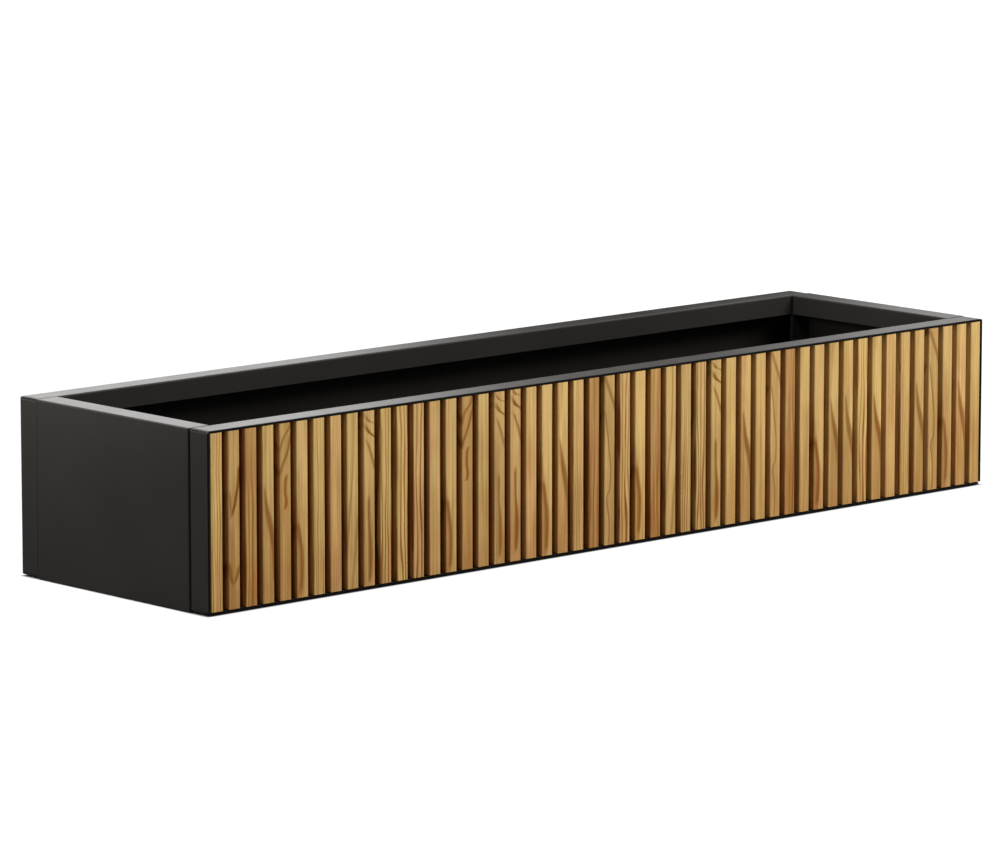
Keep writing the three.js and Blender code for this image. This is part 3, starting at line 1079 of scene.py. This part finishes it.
class PLANTER_OT_rivets(bpy.types.Operator):
    """Rivets the tabs of the tie to the front tray and to the back panel, from inside"""

    bl_idname = "planter.rivets"
    bl_label = "Rivet the tie"

    def execute(self, context):
        fasteners = context.scene.planter_fasteners
        zinc = bpy.data.materials["zinc_plate"]
        middle = (TIE_LOW.x + TIE_HIGH.x) / 2
        first = TIE_HIGH.z - fasteners.rivet_inset
        heights = (first, first - fasteners.rivet_gap)
        # The head lies on the tab, and the shank goes through it, its clearance and half the wall
        shank = SHEET + SEAT + SHEET / 2
        ends = {"front": (TIE_LOW.y + SHEET, 0), "back": (TIE_HIGH.y - SHEET, math.pi)}
        for end, (y, turn) in ends.items():
            deselect_all()
            rivet = model_fastener(
                fasteners.rivet_head,
                fasteners.rivet_height,
                fasteners.screw_sides,
                recess=0.5,
                shank=shank,
            )
            places = [(middle, y, z) for z in heights]
            piece = joined(copies_at(rivet, places, [turn] * len(places)), f"tie_rivets_{end}")
            finish_piece(piece, zinc)
        return {"FINISHED"}


class PLANTER_OT_stage(bpy.types.Operator):
    """Sets the camera, the floor, the sky and the lamps"""

    bl_idname = "planter.stage"
    bl_label = "Set the stage"

    def execute(self, context):
        stage = context.scene.planter_stage
        set_camera(context, stage)
        set_floor()
        set_sky(context, stage)
        set_lamp(
            context,
            "key_lamp",
            place=(2.6, -3.4, 4.2),
            target=(0, 0, 0.1),
            size=(4.0, 3.0),
            energy=stage.key,
        )
        set_lamp(
            context,
            "side_lamp",
            place=(-1.05, 0.18, 0.75),
            target=(-0.05, 0.1, 0.4),
            size=(0.5, 0.4),
            energy=stage.side,
        )
        set_lamp(
            context,
            "lip_lamp",
            place=(0.15, -0.05, 0.95),
            target=(0.712, -0.08, 0.235),
            size=(0.2, 0.2),
            energy=stage.lip,
            spread=math.radians(60),
        )
        set_card(
            "bright_card",
            centre=(-0.76, 2.0, 0.88),
            half_size=(1.74, 0.26),
            core=0.88,
            strength=3.4,
        )
        set_card(
            "dark_card",
            centre=(0.16, 1.5, -0.61),
            half_size=(0.74, 1.66),
            core=0.72,
            strength=0.0,
        )
        context.scene.view_settings.view_transform = "Standard"
        return {"FINISHED"}


def set_camera(context, stage):
    data = bpy.data.cameras.new("photo_camera")
    data.lens = stage.focal_length
    data.sensor_width = 36
    camera = bpy.data.objects.new("photo_camera", data)
    camera.location = stage.camera_place
    camera.rotation_euler = stage.camera_turn
    context.scene.collection.objects.link(camera)
    context.scene.camera = camera


def set_floor():
    """A floor that the camera sees white, but for the shade under the box and its soft shadow"""
    deselect_all()
    bpy.ops.mesh.primitive_plane_add(size=120)
    floor = bpy.context.object
    floor.name = "stage_floor"
    material, sheet, shader, place = new_material("stage_floor")
    shader.inputs["Base Color"].default_value = (0.2, 0.2, 0.2, 1)
    shader.inputs["Roughness"].default_value = 0.9
    shader.inputs["Specular IOR Level"].default_value = 0.1

    # The glow starts at the edge of the box and grows with the distance from its middle
    past = [
        sheet.math("SUBTRACT", sheet.math("ABSOLUTE", part), half)
        for part, half in zip(sheet.parts(place), cad_box[1][:2])
    ]
    open_floor = sheet.ease(sheet.math("MAXIMUM", *past), -0.002, 0.004)
    away = sheet.add("ShaderNodeVectorMath", {0: place}, operation="LENGTH").outputs["Value"]
    strength = sheet.math("MULTIPLY", open_floor, sheet.ease(away, 0.9, 3.5, 0.8, 1.0))
    glow = sheet.add("ShaderNodeEmission", {"Color": (1, 1, 1), "Strength": strength})
    both = sheet.add("ShaderNodeAddShader", {0: shader.outputs[0], 1: glow.outputs[0]})
    direct = sheet.add("ShaderNodeLightPath").outputs["Is Camera Ray"]
    mix = sheet.add("ShaderNodeMixShader", {0: direct, 1: shader.outputs[0], 2: both.outputs[0]})
    sheet.feed(sheet.tree.nodes["Material Output"].inputs["Surface"], mix.outputs[0])
    floor.data.materials.append(material)


def set_sky(context, stage):
    """Even light from all round, white to the camera and in gloss"""
    world = bpy.data.worlds.new("studio")
    world.use_nodes = True
    context.scene.world = world
    sheet = NodeSheet(world.node_tree)
    background = world.node_tree.nodes["Background"]
    rays = sheet.add("ShaderNodeLightPath").outputs
    direct = sheet.math("MAXIMUM", rays["Is Camera Ray"], rays["Is Glossy Ray"])
    strengths = {"Value": direct, "To Min": stage.sky, "To Max": 1.0}
    strength = sheet.add("ShaderNodeMapRange", strengths).outputs[0]
    sheet.feed(background.inputs["Color"], (1, 1, 1))
    sheet.feed(background.inputs["Strength"], strength)


def set_lamp(context, name, place, target, size, energy, spread=math.pi):
    """A soft lamp that shines at a target, all round it or within a narrower spread"""
    data = bpy.data.lights.new(name, "AREA")
    data.shape = "RECTANGLE"
    data.size, data.size_y = size
    data.energy = energy
    data.spread = spread
    lamp = bpy.data.objects.new(name, data)
    lamp.location = place
    lamp.rotation_euler = (Vector(target) - lamp.location).to_track_quat("-Z", "Y").to_euler()
    context.scene.collection.objects.link(lamp)


def set_card(name, centre, half_size, core, strength):
    """An oval card behind the box that shows only in its gloss.

    Its centre is given as (to the right, away, up), seen from the camera, and the card is full
    up to its core, a share of its size, and fades from there to its rim.
    """
    turn = bpy.context.scene.planter_stage.camera_turn[2]
    deselect_all()
    bpy.ops.mesh.primitive_plane_add(size=2)
    card = bpy.context.object
    card.name = name
    card.scale = (*half_size, 1)
    card.rotation_euler = (math.pi / 2, 0, turn)
    card.location = Matrix.Rotation(turn, 3, "Z") @ Vector(centre)
    for rays in ("camera", "diffuse", "shadow", "transmission", "volume_scatter"):
        setattr(card, f"visible_{rays}", False)
    material, sheet, _, place = new_material(name)
    out = sheet.add("ShaderNodeVectorMath", {0: place}, operation="LENGTH").outputs["Value"]
    full = sheet.ease(out, 1.0, core)
    glow = sheet.add("ShaderNodeEmission", {"Color": (1, 1, 1), "Strength": strength})
    clear = sheet.add("ShaderNodeBsdfTransparent")
    mix = sheet.add("ShaderNodeMixShader", {0: full, 1: clear.outputs[0], 2: glow.outputs[0]})
    sheet.feed(sheet.tree.nodes["Material Output"].inputs["Surface"], mix.outputs[0])
    card.data.materials.append(material)


class VIEW3D_PT_planter(bpy.types.Panel):
    """The steps that dress the planter box, with their sizes and colours"""

    bl_label = "Planter box"
    bl_space_type = "VIEW_3D"
    bl_region_type = "UI"
    bl_category = "Planter"

    def draw(self, context):
        for group, operators in PANEL_ROWS:
            settings = getattr(context.scene, group)
            box = self.layout.box()
            for name in settings.__annotations__:
                box.prop(settings, name)
            for operator in operators:
                box.operator(operator)


PANEL_ROWS = (
    ("planter_coat", ("planter.coat",)),
    ("planter_wood", ("planter.wood",)),
    ("planter_fasteners", ("planter.strips", "planter.screws", "planter.rivets")),
    ("planter_stage", ("planter.stage",)),
)

GROUPS = {
    "planter_coat": PlanterCoat,
    "planter_wood": PlanterWood,
    "planter_fasteners": PlanterFasteners,
    "planter_stage": PlanterStage,
}

CLASSES = (
    *GROUPS.values(),
    PLANTER_OT_coat,
    PLANTER_OT_wood,
    PLANTER_OT_strips,
    PLANTER_OT_screws,
    PLANTER_OT_rivets,
    PLANTER_OT_stage,
    VIEW3D_PT_planter,
)


def register():
    for cls in CLASSES:
        bpy.utils.register_class(cls)
    for name, cls in GROUPS.items():
        setattr(bpy.types.Scene, name, PointerProperty(type=cls))


def unregister():
    for name in GROUPS:
        delattr(bpy.types.Scene, name)
    for cls in reversed(CLASSES):
        bpy.utils.unregister_class(cls)


def main():
    register()
    fine_texture_group()
    settled_dust_group()
    slat_place_group()
    wood_grain_group()
    bpy.ops.planter.coat()
    bpy.ops.planter.wood()
    bpy.ops.planter.strips()
    bpy.ops.planter.screws()
    bpy.ops.planter.rivets()
    bpy.ops.planter.stage()


if __name__ == "__main__":
    main()
